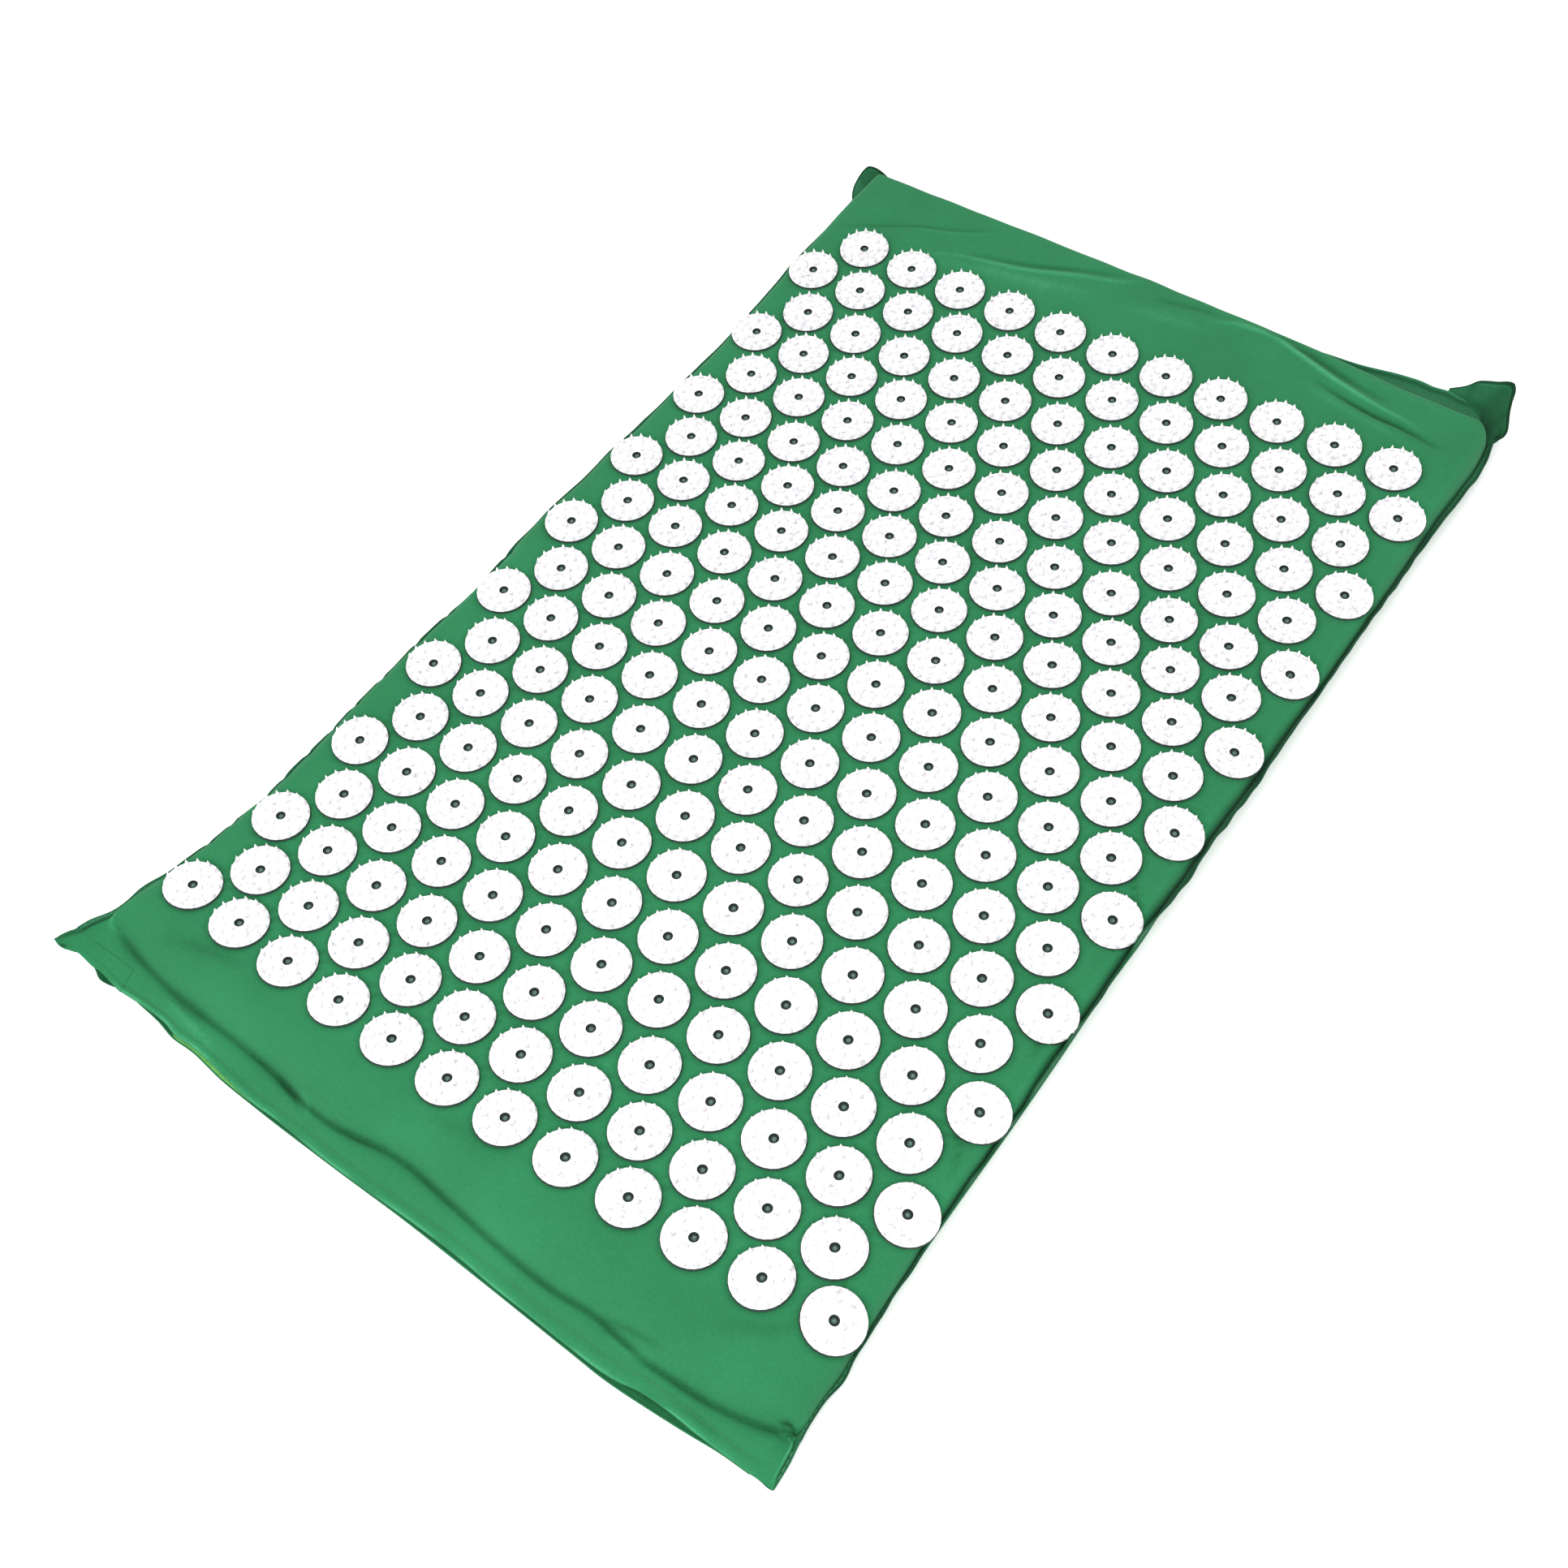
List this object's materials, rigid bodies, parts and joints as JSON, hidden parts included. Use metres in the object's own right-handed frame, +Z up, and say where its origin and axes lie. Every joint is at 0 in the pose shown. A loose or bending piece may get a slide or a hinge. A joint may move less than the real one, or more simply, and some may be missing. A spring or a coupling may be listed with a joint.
{
  "type": "acupressure mat",
  "caption": "Flat foam mat in a sewn cloth cover, with staggered rows of small round spiked plastic discs on top and a hook-and-loop mouth at one end.",
  "frame": {"origin": "on the mat's underside, below the middle of the foam slab", "axes": "+Y along the mat, from the cover's mouth to its sewn far end; +Z up, from the underside to the spikes; +X to the right when the mat is seen from its mouth"},
  "size_m": [0.4417, 0.712, 0.0292],
  "materials": {
    "cover_cloth": "plain woven cotton",
    "seam_cloth": "folded and stitched cotton",
    "thread": "polyester sewing thread",
    "tape": "hook-and-loop tape",
    "foam": "open-cell foam",
    "spiked_disc": "white moulded plastic"
  },
  "bodies": {
    "mat": {"foam_core": "foam", "cover_top_panel": "cover_cloth", "cover_bottom_panel": "cover_cloth", "side_seam_left": "seam_cloth", "side_seam_right": "seam_cloth", "far_seam": "seam_cloth", "far_corner_left": "cover_cloth", "far_corner_right": "cover_cloth", "mouth_corner_left": "cover_cloth", "mouth_corner_right": "cover_cloth", "mouth_lower_lip": "cover_cloth", "mouth_hook_tape": "tape", "side_thread_left": "thread", "side_thread_right": "thread", "far_thread": "thread", "disc_row_01": "spiked_disc", "disc_row_02": "spiked_disc", "disc_row_03": "spiked_disc", "disc_row_04": "spiked_disc", "disc_row_05": "spiked_disc", "disc_row_06": "spiked_disc", "disc_row_07": "spiked_disc", "disc_row_08": "spiked_disc", "disc_row_09": "spiked_disc", "disc_row_10": "spiked_disc", "disc_row_11": "spiked_disc", "disc_row_12": "spiked_disc", "disc_row_13": "spiked_disc", "disc_row_14": "spiked_disc", "disc_row_15": "spiked_disc", "disc_row_16": "spiked_disc", "disc_row_17": "spiked_disc", "disc_row_18": "spiked_disc", "disc_row_19": "spiked_disc", "disc_row_20": "spiked_disc"},
    "mouth_lip": {"mouth_upper_lip": "cover_cloth", "mouth_loop_tape": "tape", "upper_hem_thread": "thread"}
  },
  "joints": [
    {"name": "mouth_lip_hinge", "type": "hinge", "parent": "mat", "child": "mouth_lip", "pos_m": [0, -0.338, 0.0055], "axis": [-1, 0, 0], "range_deg": [0, 60]}
  ]
}
